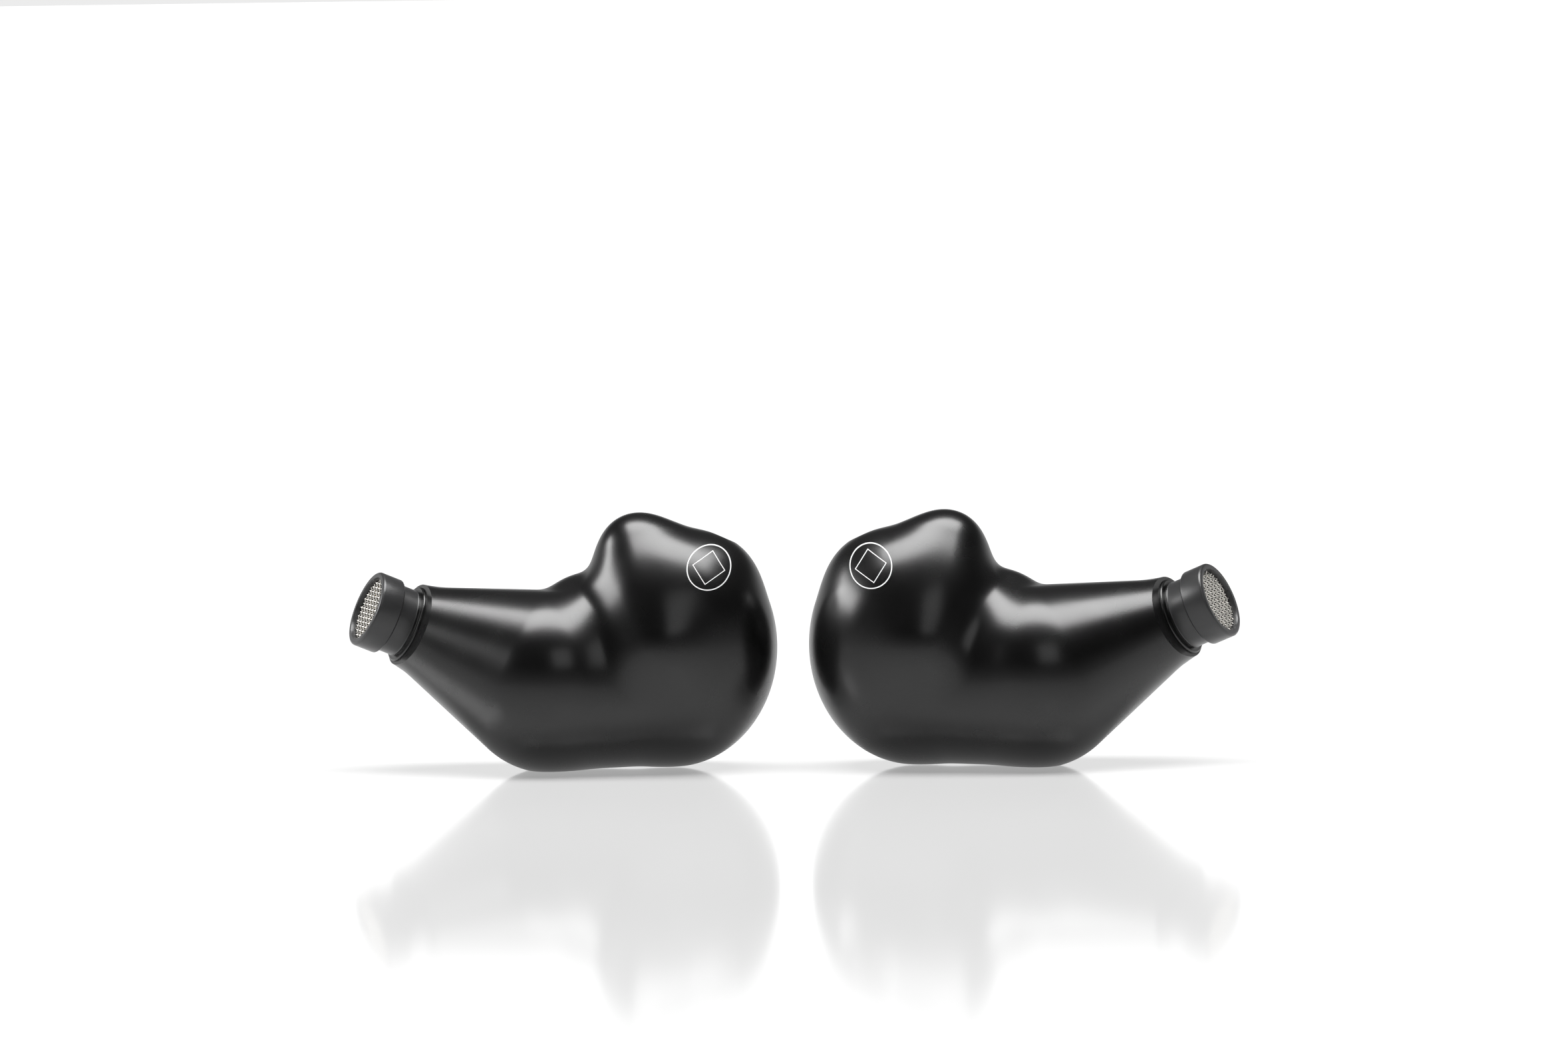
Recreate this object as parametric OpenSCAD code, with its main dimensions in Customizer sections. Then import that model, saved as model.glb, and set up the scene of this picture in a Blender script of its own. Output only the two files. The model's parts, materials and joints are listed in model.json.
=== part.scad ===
// Pair of in-ear monitors: two mirrored earpieces standing side by side.
// Everything is described for the left earpiece (at -X) and mirrored for the right one.
// Origin: middle of the pair, on the surface that it stands on. +X right, +Y back, +Z up.

/* [Shell] */
// Wall of the shell and of the faceplate
wall = 1.0; // [0.9:0.05:1.1]
// Depth from the seam to the crown of the faceplate
dome_depth = 2.2; // [2.1:0.05:2.4]
// Thickness of the gasket in the seam
gasket_t = 0.24; // [0.2:0.02:0.3]
// Rays around the shell surface
shell_sides = 36; // [24:4:44]
// Rings along the shell surface
shell_rings = 38; // [26:2:44]

/* [Nozzle] */
// Diameter of the lip that holds an ear tip
lip_d = 5.9; // [5.7:0.05:6.1]
// Length of the lip
lip_l = 1.85; // [1.6:0.05:2.1]
// Diameter of the stem behind the lip
stem_d = 5.25; // [5.1:0.05:5.4]
// Length of the stem that shows behind the lip
stem_l = 1.3; // [1.2:0.05:1.4]
// Diameter of the collar at the end of the neck
collar_d = 6.0; // [5.9:0.05:6.1]
// Diameter of the grille
grille_d = 4.9; // [4.7:0.05:5.0]

/* [Dynamic driver] */
// Outer diameter of the driver
driver_d = 9.2; // [9.0:0.1:9.2]
// Diameter of the diaphragm inside its surround
diaphragm_d = 6.6; // [6.4:0.1:6.7]
// Diameter of the voice coil
coil_d = 4.3; // [4.2:0.05:4.4]

/* [Socket] */
// Distance between the two contacts
pin_pitch = 1.9; // [1.8:0.05:2.0]
// Bore of each contact sleeve
pin_bore = 0.8; // [0.76:0.02:0.84]
// Length of the socket housing
socket_l = 3.4; // [3.2:0.1:3.4]

/* [Hidden] */
PIECES = [
    "shell", "faceplate", "faceplate_gasket", "faceplate_screws",
    "nozzle", "nozzle_grille", "nozzle_insert", "acoustic_dampers",
    "bass_sound_tube", "mid_sound_tube",
    "driver_front_cover", "driver_frame", "driver_surround", "diaphragm", "voice_coil",
    "driver_yoke", "driver_magnet", "driver_top_plate", "driver_rear_screen",
    "driver_cradle", "mid_armature", "treble_armature", "armature_manifold",
    "crossover_board", "crossover_components",
    "socket_housing", "socket_contacts", "socket_wires", "hookup_wires"
];
$fn = 48;
// Shift that centres the pair front to back on the origin
depth_shift = 0.83;

// ---- places ----

// Centre of the outer face of the nozzle lip, and the direction that the nozzle points
lip_centre = [-32.4, 0, 12.4];
nozzle_dir = unit([-0.85, -0.35, 0.39]);
// Depths behind the lip face: collar, end of the neck, inner end of the nozzle
collar_at = lip_l + stem_l;
neck_at = collar_at + 0.4;
nozzle_l = 5.4;
neck_end = lip_centre - neck_at * nozzle_dir;

// Middle of the seam between shell and faceplate, and how far the seam turns about Z
seam_centre = [-12, 4.4, 9];
seam_turn = 12;
seam_dir = [sin(seam_turn), cos(seam_turn), 0];
dome_r = 45;

// Centre of the driver in the seam's frame
driver_at = [3.5, -4.2, -0.8];
// Faceplate screws in the seam's frame: across, up
screws_at = [[-2.6, -4.4], [7.4, 3.4], [1.2, 5.8]];

// Front of the armature manifold, and the direction that its spout points
armature_at = [-22.6, -0.2, 8];
armature_dir = unit([-0.93, 0.14, 0.34]);

// Middle of the socket's face, and how far it leans back and to the side
socket_at = [-6.4, 1.6, 17.25];
socket_lean = [25, 14];

module mirrored() mirror([1, 0, 0]) children();
module toward(dir) rotate([0, acos(dir.z), atan2(dir.y, dir.x)]) children();
module at_nozzle() translate(lip_centre) toward(nozzle_dir) children();
module at_seam() translate(seam_centre) rotate([0, 0, -seam_turn]) children();
module at_driver() at_seam() translate(driver_at) rotate([-90, 0, 0]) children();
module at_armatures() translate(armature_at) toward(armature_dir) children();
module at_socket()
    translate(socket_at) rotate([0, 0, -seam_turn]) rotate([-socket_lean[0], 0, 0])
        rotate([0, socket_lean[1], 0]) children();
module at_screw(place) at_seam() translate([place[0], 0, place[1]]) rotate([-90, 0, 0]) children();
module at_screws() for (place = screws_at) at_screw(place) children();

// ---- shell form: a field that is negative inside the earpiece ----

function unit(v) = v / norm(v);
function mix(a, b, t) = a + (b - a) * t;
function smooth_min(a, b, k) = let (h = max(k - abs(a - b), 0) / k) min(a, b) - h * h * k / 4;
function smooth_max(a, b, k) = -smooth_min(-a, -b, k);
function ball(p, c, r) = norm(p - c) - r;
function egg(p, c, r) =
    let (q = p - c, s = norm([q.x / r.x, q.y / r.y, q.z / r.z]))
    s * (s - 1) / max(norm([q.x / (r.x * r.x), q.y / (r.y * r.y), q.z / (r.z * r.z)]), 0.000001);
// Cone with round ends: radius ra at a, and the larger radius rb at b
function round_cone(p, a, b, ra, rb) =
    let (length = norm(b - a), dir = (b - a) / length,
         lean = (rb - ra) / length, across = sqrt(1 - lean * lean),
         along = (p - a) * dir, out = norm(p - a - along * dir),
         foot = along + out * lean / across)
    foot < 0 ? norm([out, along]) - ra
    : foot > length ? norm([out, along - length]) - rb
    : out * across - along * lean - ra;

function form(p, inset, edge) =
    let (neck = round_cone(p, [-29.4, 1.1, 11.1], [-18.4, -1, 6.75], 2.8, 6.95),
         root = round_cone(p, [-29.4, 1.2, 11.1], [-25, 2.6, 9.2], 2.8, 3.2),
         body = egg(p, [-9.2, 0.4, 9.2], [8, 7, 9.15]),
         belly = egg(p, [-14, 0, 6], [7.5, 6.4, 5.75]),
         saddle = ball(p, [-16.2, 1.4, 12], 2.5),
         ridge = round_cone(p, [-11.8, 0.2, 16.7], [-9.8, -3.9, 9.4], 2.6, 2.6),
         lobe = ball(p, [-6.3, 1, 13.9], 3.4),
         crown = ball(p, seam_centre + (dome_depth - dome_r) * seam_dir, dome_r),
         a = smooth_min(smooth_min(neck, root, 1), body, 2.5),
         b = smooth_min(smooth_min(a, belly, 1.5), saddle, 1.5),
         c = smooth_min(smooth_min(b, ridge, 2.5), lobe, 1.5))
    smooth_max(smooth_max(c + inset, crown + inset, edge), inset - p.z, 0.1);

// Distance from o to the surface along d
function reach(o, d, inset, edge, low = 0, high = 14, steps = 12) =
    steps == 0 ? (low + high) / 2
    : let (middle = (low + high) / 2)
      form(o + middle * d, inset, edge) < 0
      ? reach(o, d, inset, edge, middle, high, steps - 1)
      : reach(o, d, inset, edge, low, middle, steps - 1);

// Rays fan out from the middle of the body, then travel along the neck to its end
fan_centre = [-9.6, 0.2, 8.4];
fan_axis = unit([-1, 0, 0.12]);
fan_share = 0.5;
function path_point(t, end) =
    let (bend = end - 5 * nozzle_dir) mix(mix(fan_centre, bend, t), mix(bend, end, t), t);
function ray(u, turn, end) =
    let (t = max(0, (u - fan_share) / (1 - fan_share)),
         axis = unit(mix(fan_axis, nozzle_dir, t)),
         lean = u < fan_share ? mix(180, 62, u / fan_share) : mix(62, 90, t),
         side = unit(cross(axis, [0, 0, 1])), up = cross(side, axis))
    [path_point(t, end),
     cos(lean) * axis + sin(lean) * (cos(turn) * side + sin(turn) * up)];
function skin_point(u, turn, end, inset, edge) =
    let (r = ray(u, turn, end)) r[0] + reach(r[0], r[1], inset, edge) * r[1];

// Closed solid of the form: a pole, rings of points, and a flat end across the neck
module skin(rings, sides, end, inset, edge) {
    points = concat(
        [skin_point(0, 0, end, inset, edge)],
        [for (i = [1:rings], j = [0:sides - 1])
            skin_point(i / rings, j * 360 / sides, end, inset, edge)]
    );
    function at(i, j) = 1 + (i - 1) * sides + j % sides;
    faces = concat(
        [for (j = [0:sides - 1]) [0, at(1, j + 1), at(1, j)]],
        [for (i = [1:rings - 1], j = [0:sides - 1]) [at(i, j), at(i, j + 1), at(i + 1, j + 1)]],
        [for (i = [1:rings - 1], j = [0:sides - 1]) [at(i, j), at(i + 1, j + 1), at(i + 1, j)]],
        [[for (j = [0:sides - 1]) at(rings, j)]]
    );
    polyhedron(points, faces);
}
module outer_skin() skin(shell_rings, shell_sides, neck_end, 0, 2);
module gasket_skin() skin(shell_rings, shell_sides, neck_end, 0.25, 2);
module cavity_skin() skin(26, 24, neck_end - 2.4 * nozzle_dir, wall, 1);

// Everything on one side of the seam: behind it with way = 1, in front with way = -1
module seam_half(way)
    at_seam() translate([-25, way > 0 ? gasket_t / 2 : -gasket_t / 2 - 30, -15]) cube([50, 30, 30]);
module seam_slab()
    at_seam() translate([-25, -gasket_t / 2, -15]) cube([50, gasket_t, 30]);

// ---- shared shapes ----

module ring(outer_r, inner_r, low, high)
    difference() {
        translate([0, 0, low]) cylinder(r = outer_r, h = high - low);
        translate([0, 0, low - 1]) cylinder(r = inner_r, h = high - low + 2);
    }
module rod(r, low, high) translate([0, 0, low]) cylinder(r = r, h = high - low);
module turned(profile) rotate_extrude() polygon(profile);
module stadium(length, width, low, high)
    translate([0, 0, low]) linear_extrude(high - low) {
        square([length - width, width], center = true);
        for (way = [-1, 1]) translate([way * (length - width) / 2, 0]) circle(d = width);
    }

// Curve with two end points and two guide points
function curve(p, t) =
    pow(1 - t, 3) * p[0] + 3 * pow(1 - t, 2) * t * p[1] + 3 * (1 - t) * t * t * p[2] + pow(t, 3) * p[3];
// The same curve as points, with a short straight stretch at each end
function curve_points(p, count, first, last) = concat(
    [p[0]],
    [for (i = [0:count])
        curve([p[0] + first * unit(p[1] - p[0]), p[1], p[2], p[3] + last * unit(p[2] - p[3])], i / count)],
    [p[3]]
);
function heading(path, i) = unit(path[min(i + 1, len(path) - 1)] - path[max(i - 1, 0)]);
function loop(path, i, r, sides) =
    let (dir = heading(path, i), side = unit(cross(dir, [0.1, 0.2, 1])), up = cross(side, dir))
    [for (j = [0:sides - 1])
        path[i] + r * (cos(j * 360 / sides) * side + sin(j * 360 / sides) * up)];
function tube_wall(first, count, sides, flip) =
    [for (i = [0:count - 2], j = [0:sides - 1])
        let (a = first + i * sides + j, b = first + i * sides + (j + 1) % sides)
        flip ? [a, b, b + sides, a + sides] : [a, a + sides, b + sides, b]];
function tube_ends(outer, inner, sides, flip) =
    [for (j = [0:sides - 1])
        let (k = (j + 1) % sides)
        flip ? [outer + j, outer + k, inner + k, inner + j]
             : [outer + j, inner + j, inner + k, outer + k]];
// Hollow tube swept along a path
module tube(path, outer_r, inner_r, sides = 12) {
    n = len(path);
    points = concat(
        [for (i = [0:n - 1], p = loop(path, i, outer_r, sides)) p],
        [for (i = [0:n - 1], p = loop(path, i, inner_r, sides)) p]
    );
    inner = n * sides;
    last = (n - 1) * sides;
    faces = concat(
        tube_wall(0, n, sides, true), tube_wall(inner, n, sides, false),
        tube_ends(0, inner, sides, false), tube_ends(last, inner + last, sides, true)
    );
    polyhedron(points, faces);
}
// Solid wire swept along a path
module wire(path, r, sides = 8) {
    n = len(path);
    points = [for (i = [0:n - 1], p = loop(path, i, r, sides)) p];
    faces = concat(
        tube_wall(0, n, sides, true),
        [[for (j = [0:sides - 1]) sides - 1 - j], [for (j = [0:sides - 1]) (n - 1) * sides + j]]
    );
    polyhedron(points, faces);
}

// ---- casing ----

screw_r = 0.55;
screw_head_r = 0.95;
screw_head_at = 0.5;
screw_tip_at = -1.8;
boss_r = 0.95;
boss_foot_at = -2;

module screw_holes() {
    at_screws() rod(screw_r + 0.01, screw_tip_at - 0.1, 4);
    at_screws() rod(screw_head_r + 0.05, screw_head_at, 4);
}

// Hole for the socket housing, and the flat that its face is flush with
module socket_hole() at_socket() {
    stadium(socket_w + 0.04, socket_t + 0.04, -5, 1);
    stadium(socket_w + 0.3, socket_t + 0.3, 0, 2);
}

// Joins the boss that stands clear of the wall to it
module boss_rib()
    at_screw(screws_at[1]) rotate(-45) translate([0, -0.5, boss_foot_at])
        cube([1.8, 1, -gasket_t / 2 - boss_foot_at]);

module shell() color([0.07, 0.07, 0.08]) difference() {
    union() {
        difference() {
            intersection() {
                outer_skin();
                seam_half(-1);
            }
            cavity_skin();
        }
        at_screws() rod(boss_r, boss_foot_at, -gasket_t / 2);
        boss_rib();
        at_nozzle() rod(collar_d / 2, -neck_at - 0.2, -collar_at);
    }
    screw_holes();
    at_nozzle() rod(sleeve_r + 0.01, -8, 1);
    socket_hole();
}

module faceplate() color([0.07, 0.07, 0.08]) difference() {
    intersection() {
        outer_skin();
        seam_half(1);
    }
    cavity_skin();
    screw_holes();
    socket_hole();
}

module faceplate_gasket() color([0.2, 0.2, 0.2]) difference() {
    intersection() {
        gasket_skin();
        seam_slab();
    }
    cavity_skin();
    screw_holes();
    socket_hole();
}

module faceplate_screws() color([0.3, 0.3, 0.32])
    at_screws() difference() {
        union() {
            rod(screw_r, screw_tip_at, screw_head_at + 0.1);
            rod(screw_head_r, screw_head_at, screw_head_at + 0.5);
        }
        translate([0, 0, screw_head_at + 0.2]) cylinder(r = 0.4, h = 1, $fn = 6);
    }

// ---- nozzle ----

sleeve_r = 2.3;
nozzle_bore_r = 1.95;
grille_seat = 0.4;
lip_round = 0.15;
insert_front = -2;
sound_bore_r = 0.78;
sound_bore_offset = 0.95;
sound_way = [-1, 1];

module nozzle() color([0.06, 0.06, 0.07]) at_nozzle() turned([
    [grille_d / 2, 0], [lip_d / 2 - lip_round, 0], [lip_d / 2, -lip_round],
    [lip_d / 2, -lip_l + lip_round], [lip_d / 2 - lip_round, -lip_l], [stem_d / 2, -lip_l],
    [stem_d / 2, -collar_at], [sleeve_r, -collar_at], [sleeve_r, -nozzle_l],
    [nozzle_bore_r, -nozzle_l], [nozzle_bore_r, -grille_seat], [grille_d / 2, -grille_seat]
]);

module nozzle_grille() color([0.75, 0.73, 0.7])
    at_nozzle() rod(grille_d / 2, -grille_seat, -grille_seat + 0.15);

module nozzle_insert() color([0.15, 0.15, 0.16]) at_nozzle() difference() {
    rod(nozzle_bore_r, -nozzle_l, insert_front);
    for (way = sound_way) translate([way * sound_bore_offset, 0, 0]) rod(sound_bore_r, -9, 1);
}

module acoustic_dampers() color([0.5, 0.5, 0.5])
    at_nozzle() for (way = sound_way) translate([way * sound_bore_offset, 0, 0]) {
        ring(sound_bore_r - 0.01, 0.5, -3.6, -2.6);
        rod(0.6, -3.05, -2.95);
    }

// Points on a sound bore's axis, at a depth behind the lip face
nozzle_down = cross(cross(nozzle_dir, [0, 0, -1]), nozzle_dir) / norm(cross(nozzle_dir, [0, 0, -1]));
function bore_point(way, depth) =
    lip_centre - depth * nozzle_dir + way * sound_bore_offset * nozzle_down;
function seam_point(p) =
    seam_centre + [p.x * cos(seam_turn) + p.y * sin(seam_turn),
                   p.y * cos(seam_turn) - p.x * sin(seam_turn), p.z];
function sound_path(way, bend, tip, lead) = curve_points(
    [bore_point(way, 3.8), bore_point(way, nozzle_l + bend), tip + lead, tip], 9, nozzle_l - 3.8, 1
);
tube_r = 0.76;
tube_bore_r = 0.46;

module bass_sound_tube() color([0.8, 0.85, 0.9])
    tube(sound_path(-1, 2, cover_spout_root, 4 * cover_spout_dir), tube_r, tube_bore_r);

module mid_sound_tube() color([0.8, 0.85, 0.9])
    tube(sound_path(1, 1.5, armature_at, 2.5 * armature_dir), tube_r, tube_bore_r);

// ---- dynamic driver, with z = 0 at its middle and +z towards the faceplate ----

driver_r = driver_d / 2;
cover_front = -3.4;
cover_back = -2.1;
cover_t = 0.4;
cover_nose_r = 3.6;
// The front cover's spout: angle above the horizontal, height, inner end and outer end
spout_rise = 28;
spout_z = -2.75;
spout_r = 0.44;
spout_from = 3.7;
spout_to = 5.8;
tube_from = 4.9;
frame_r = 4.25;
plate_front = 0.3;
plate_back = 0.8;
yoke_r = 3.2;
gap_r = 2.45;
yoke_front = 0.1;
yoke_floor = 1.6;
yoke_back = 2.1;
coil_top = -0.66;
coil_bottom = 1;
film_t = 0.08;

function driver_point(p) = seam_point(driver_at + [p.x, p.z, -p.y]);
function round_driver(turn, r, z) = driver_point([r * cos(turn), r * sin(turn), z]);
cover_spout_root = round_driver(180 + spout_rise, tube_from, spout_z);
cover_spout_dir = unit(round_driver(180 + spout_rise, 1, 0) - driver_point([0, 0, 0]));

module cover_spout(r, from, to)
    translate([0, 0, spout_z]) rotate([0, -90, spout_rise]) rod(r, from, to);

module driver_front_cover() color([0.2, 0.2, 0.22]) at_driver() difference() {
    union() {
        turned([
            [0, cover_front], [cover_nose_r, cover_front], [driver_r, cover_back],
            [driver_r - cover_t, cover_back], [cover_nose_r - cover_t, cover_front + cover_t],
            [0, cover_front + cover_t]
        ]);
        cover_spout(spout_r, spout_from, spout_to);
    }
    cover_spout(0.28, 3, 6);
}

module driver_frame() color([0.25, 0.25, 0.27]) at_driver() difference() {
    union() {
        ring(driver_r, frame_r, cover_back, plate_back);
        ring(frame_r + 0.1, yoke_r, plate_front, plate_back);
    }
    for (turn = [0:60:300]) rotate(turn) translate([3.75, 0, 0]) rod(0.35, -1, 2);
}

module driver_surround() color([0.6, 0.5, 0.3]) at_driver() rotate_extrude() {
    edge = diaphragm_d / 2 + 0.06;
    middle = (edge + frame_r) / 2;
    roll = 0.3;
    translate([edge, -1]) square([middle - roll - edge + 0.02, 0.06]);
    translate([middle + roll - 0.02, -1]) square([frame_r - middle - roll + 0.02, 0.06]);
    translate([middle, -0.97]) intersection() {
        difference() {
            circle(r = roll + 0.03);
            circle(r = roll - 0.03);
        }
        translate([-1, -1.03]) square([2, 1.06]);
    }
}

module diaphragm() color([0.85, 0.8, 0.7]) at_driver() turned([
    [0, -1.2], [1, -1.08], [coil_d / 2 - 0.16, coil_top - film_t],
    [coil_d / 2 + 0.12, coil_top - film_t], [diaphragm_d / 2, -1.04], [diaphragm_d / 2, -0.96],
    [coil_d / 2 + 0.14, coil_top], [coil_d / 2 - 0.18, coil_top], [1, -1], [0, -1.12]
]);

module voice_coil() color([0.72, 0.45, 0.2])
    at_driver() ring(coil_d / 2 + 0.1, coil_d / 2 - 0.15, coil_top, coil_bottom);

module driver_yoke() color([0.6, 0.6, 0.62]) at_driver() difference() {
    rod(yoke_r, yoke_front, yoke_back);
    rod(gap_r, yoke_front - 1, yoke_floor);
}

module driver_magnet() color([0.75, 0.75, 0.78]) at_driver() rod(1.7, yoke_front + 0.4, yoke_floor);

module driver_top_plate() color([0.6, 0.6, 0.62])
    at_driver() rod(1.85, yoke_front, yoke_front + 0.4);

module driver_rear_screen() color([0.85, 0.85, 0.8])
    at_driver() ring(driver_r - 0.2, yoke_r + 0.02, plate_back, plate_back + 0.08);

module driver_cradle() color([0.3, 0.3, 0.33]) at_driver() {
    ring(driver_r + 0.6, driver_r + 0.02, -0.4, plate_back + 0.3);
    for (turn = [43, 163, 253]) rotate(turn)
        translate([driver_r - 0.4, -0.5, plate_back + 0.1])
            cube([0.95, 1, board_front - plate_back - 0.1]);
}

// ---- balanced armatures, with +z along the spout ----

manifold_t = 0.8;
armature_w = 4;
mid_l = 6.2;
mid_t = 2.7;
treble_l = 4.8;
treble_t = 1.9;
stack_gap = 0.1;
// The stack sits with its middle on the spout: local x points down
stack_top = (mid_t + treble_t + stack_gap) / 2;

module mid_armature() color([0.8, 0.8, 0.82]) at_armatures()
    translate([stack_top - mid_t, -armature_w / 2, -manifold_t - mid_l])
        cube([mid_t, armature_w, mid_l]);

module treble_armature() color([0.8, 0.8, 0.82]) at_armatures()
    translate([-stack_top, -armature_w / 2, -manifold_t - treble_l])
        cube([treble_t, armature_w, treble_l]);

module armature_manifold() color([0.5, 0.5, 0.52]) at_armatures() difference() {
    union() {
        translate([-stack_top, -armature_w / 2, -manifold_t])
            cube([2 * stack_top, armature_w, manifold_t]);
        rod(spout_r, -manifold_t, 1);
    }
    rod(0.28, -2, 2);
}

// ---- crossover, socket and wiring ----

board_front = 2.8;
board_t = 0.4;
board_r = 4.6;

module crossover_board() color([0.1, 0.3, 0.15])
    at_driver() rod(board_r, board_front, board_front + board_t);

module chip(across, up, l, w, t)
    translate([across - l / 2, up - w / 2, board_front + board_t]) cube([l, w, t]);

module crossover_components() color([0.6, 0.5, 0.4]) at_driver() {
    for (across = [-2.4, 0, 2.4]) chip(across, -1.6, 1.6, 0.8, 0.5);
    for (across = [-1.4, 1.4]) chip(across, 1.4, 2, 1.25, 0.7);
    for (across = [-3.2, 3.2]) chip(across, 0, 0.5, 1, 0.35);
}

socket_w = 4.1;
socket_t = 2.2;
sleeve_wall = 0.15;
contact_l = socket_l;

module socket_housing() color([0.05, 0.05, 0.05]) at_socket() difference() {
    stadium(socket_w, socket_t, -socket_l, 0);
    for (way = [-1, 1]) translate([way * pin_pitch / 2, 0, 0])
        rod(pin_bore / 2 + sleeve_wall, -6, 1);
}

module socket_contacts() color([0.85, 0.7, 0.35]) at_socket()
    for (way = [-1, 1]) translate([way * pin_pitch / 2, 0, 0])
        ring(pin_bore / 2 + sleeve_wall, pin_bore / 2, -contact_l, -0.1);

wire_r = 0.14;
board_middle = board_front + board_t / 2;
// Wires reach the edge of the board square on, at these turns round the driver
socket_pads = [-84, -72];
armature_pads = [192, 203];

module wire_to_board(tail, dir, pad_turn)
    wire(curve_points(
        [tail, tail + 1.2 * dir, round_driver(pad_turn, board_r + 1.2, board_middle),
         round_driver(pad_turn, board_r, board_middle)], 8, 0.3, 0.3), wire_r);

function socket_point(p) =
    let (a = socket_lean[0], b = socket_lean[1],
         side = [p.x * cos(b) + p.z * sin(b), p.y, p.z * cos(b) - p.x * sin(b)],
         back = [side.x, side.y * cos(a) + side.z * sin(a), side.z * cos(a) - side.y * sin(a)])
    socket_at + seam_point(back) - seam_centre;
module socket_wires() color([0.7, 0.3, 0.2]) for (i = [0, 1]) {
    across = (2 * i - 1) * (pin_pitch / 2 + pin_bore / 2 + wire_r + 0.02);
    tail = socket_point([across, 0, -contact_l]);
    wire_to_board(tail, unit(tail - socket_point([across, 0, 0])), socket_pads[i]);
}

function armature_point(p) =
    let (lean = acos(armature_dir.z), turn = atan2(armature_dir.y, armature_dir.x),
         out = p.x * cos(lean) + p.z * sin(lean))
    armature_at + [out * cos(turn) - p.y * sin(turn), out * sin(turn) + p.y * cos(turn),
                   p.z * cos(lean) - p.x * sin(lean)];
module hookup_wires() color([0.3, 0.5, 0.3]) {
    for (i = [0, 1])
        wire_to_board(armature_point([-1.2, 0.6 - 1.2 * i, -manifold_t - treble_l]), -armature_dir,
                      armature_pads[i]);
    for (way = [-1, 1])
        wire([for (z = [yoke_back, board_front]) driver_point([way * 0.8, 2.5, z])], wire_r);
}

// ---- the pair ----

module sides(piece) {
    translate([0, depth_shift, 0]) children();
    mirrored() translate([0, depth_shift, 0]) children();
}

sides("shell") shell();
sides("faceplate") faceplate();
sides("faceplate_gasket") faceplate_gasket();
sides("faceplate_screws") faceplate_screws();
sides("nozzle") nozzle();
sides("nozzle_grille") nozzle_grille();
sides("nozzle_insert") nozzle_insert();
sides("acoustic_dampers") acoustic_dampers();
sides("bass_sound_tube") bass_sound_tube();
sides("mid_sound_tube") mid_sound_tube();
sides("driver_front_cover") driver_front_cover();
sides("driver_frame") driver_frame();
sides("driver_surround") driver_surround();
sides("diaphragm") diaphragm();
sides("voice_coil") voice_coil();
sides("driver_yoke") driver_yoke();
sides("driver_magnet") driver_magnet();
sides("driver_top_plate") driver_top_plate();
sides("driver_rear_screen") driver_rear_screen();
sides("driver_cradle") driver_cradle();
sides("mid_armature") mid_armature();
sides("treble_armature") treble_armature();
sides("armature_manifold") armature_manifold();
sides("crossover_board") crossover_board();
sides("crossover_components") crossover_components();
sides("socket_housing") socket_housing();
sides("socket_contacts") socket_contacts();
sides("socket_wires") socket_wires();
sides("hookup_wires") hookup_wires();
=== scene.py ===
"""Looks for the pair of in-ear monitors: satin black shells, woven grilles, studio light and camera."""
import json
import math

import bmesh
import bpy
import numpy as np
from mathutils import Matrix, Vector


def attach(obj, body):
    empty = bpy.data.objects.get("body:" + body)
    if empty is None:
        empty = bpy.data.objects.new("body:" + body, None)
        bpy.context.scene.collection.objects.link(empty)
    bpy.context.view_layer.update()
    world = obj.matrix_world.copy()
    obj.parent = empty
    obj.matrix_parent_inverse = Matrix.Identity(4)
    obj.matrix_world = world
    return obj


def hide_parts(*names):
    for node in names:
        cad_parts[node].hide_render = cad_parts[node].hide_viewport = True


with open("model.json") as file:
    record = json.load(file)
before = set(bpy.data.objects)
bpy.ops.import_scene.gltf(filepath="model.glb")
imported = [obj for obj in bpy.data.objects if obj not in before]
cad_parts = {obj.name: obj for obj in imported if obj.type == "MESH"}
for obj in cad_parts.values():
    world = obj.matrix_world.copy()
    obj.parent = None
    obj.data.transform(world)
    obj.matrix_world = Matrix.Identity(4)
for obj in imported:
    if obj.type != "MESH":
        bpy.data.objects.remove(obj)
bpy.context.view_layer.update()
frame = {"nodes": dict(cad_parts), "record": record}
nodes = frame["nodes"]
scene = bpy.context.scene

# ---- sizes of the left earpiece in millimetres, as in the CAD model ----

MM = 0.001
DEPTH_SHIFT = 0.83
WALL = 1.0
DOME_DEPTH = 2.2
DOME_R = 45.0
GASKET_T = 0.24
COLLAR_AT = 3.15
NECK_AT = 3.55
NOZZLE_L = 5.4
LIP_R = 2.95
LIP_L = 1.85
STEM_R = 2.625
COLLAR_R = 3.0
GRILLE_R = 2.45
GRILLE_SEAT = 0.55
SLEEVE_R = 2.3
SLEEVE_BORE_R = 1.95
SCREWS_AT = [(-2.6, -4.4), (7.4, 3.4), (1.2, 5.8)]
SCREW_R = 0.55
SCREW_HEAD_R = 0.95
SCREW_HEAD_AT = 0.5
SCREW_TIP_AT = -1.8
BOSS_R = 0.95
BOSS_FOOT_AT = -2.0
SOCKET_AT = (-6.4, 1.6, 17.25)
SOCKET_LEAN = (25, 14)
SOCKET_W = 4.1
SOCKET_T = 2.2
SEAM_TURN = 12


def vec(*v):
    return np.array(v, float)


def unit(v):
    v = np.array(v, float)
    return v / np.linalg.norm(v)


LIP_CENTRE = vec(-32.4, 0, 12.4)
NOZZLE_DIR = unit((-0.85, -0.35, 0.39))
NECK_END = LIP_CENTRE - NECK_AT * NOZZLE_DIR
SEAM_CENTRE = vec(-12, 4.4, 9)
SEAM_DIR = vec(math.sin(math.radians(SEAM_TURN)), math.cos(math.radians(SEAM_TURN)), 0)

# ---- the shell's form: a field that is negative inside the earpiece ----


def smooth_min(a, b, k):
    h = np.maximum(k - np.abs(a - b), 0) / k
    return np.minimum(a, b) - h * h * k / 4


def smooth_max(a, b, k):
    return -smooth_min(-a, -b, k)


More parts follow.
